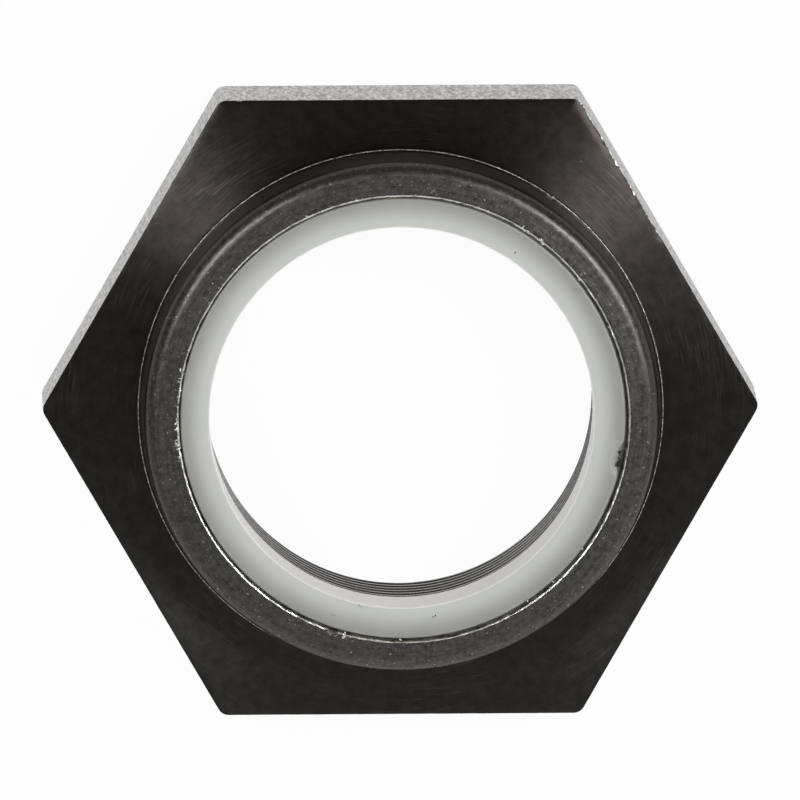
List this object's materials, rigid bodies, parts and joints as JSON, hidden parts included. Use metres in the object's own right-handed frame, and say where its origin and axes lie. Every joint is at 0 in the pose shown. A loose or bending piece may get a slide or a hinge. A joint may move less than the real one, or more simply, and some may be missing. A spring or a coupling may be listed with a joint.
{
  "type": "nylon insert lock nut",
  "caption": "Thin hexagonal lock nut in blackened steel. A low round collar is crimped in over a white nylon ring that grips the screw thread.",
  "frame": {"origin": "centre of the bearing face, which lies flat on the surface", "axes": "+Z along the bore from the bearing face to the crimped collar; two corners of the hexagon point along +X and -X, and two flats are square to +Y and -Y"},
  "size_m": [0.069, 0.06, 0.0166],
  "materials": {
    "blackened_steel": "black conversion coating on turned steel, oiled, with edges worn bright",
    "nylon": "translucent natural white nylon, satin"
  },
  "bodies": {
    "root": {"nut_body": "blackened_steel", "nylon_ring": "nylon"}
  },
  "joints": []
}
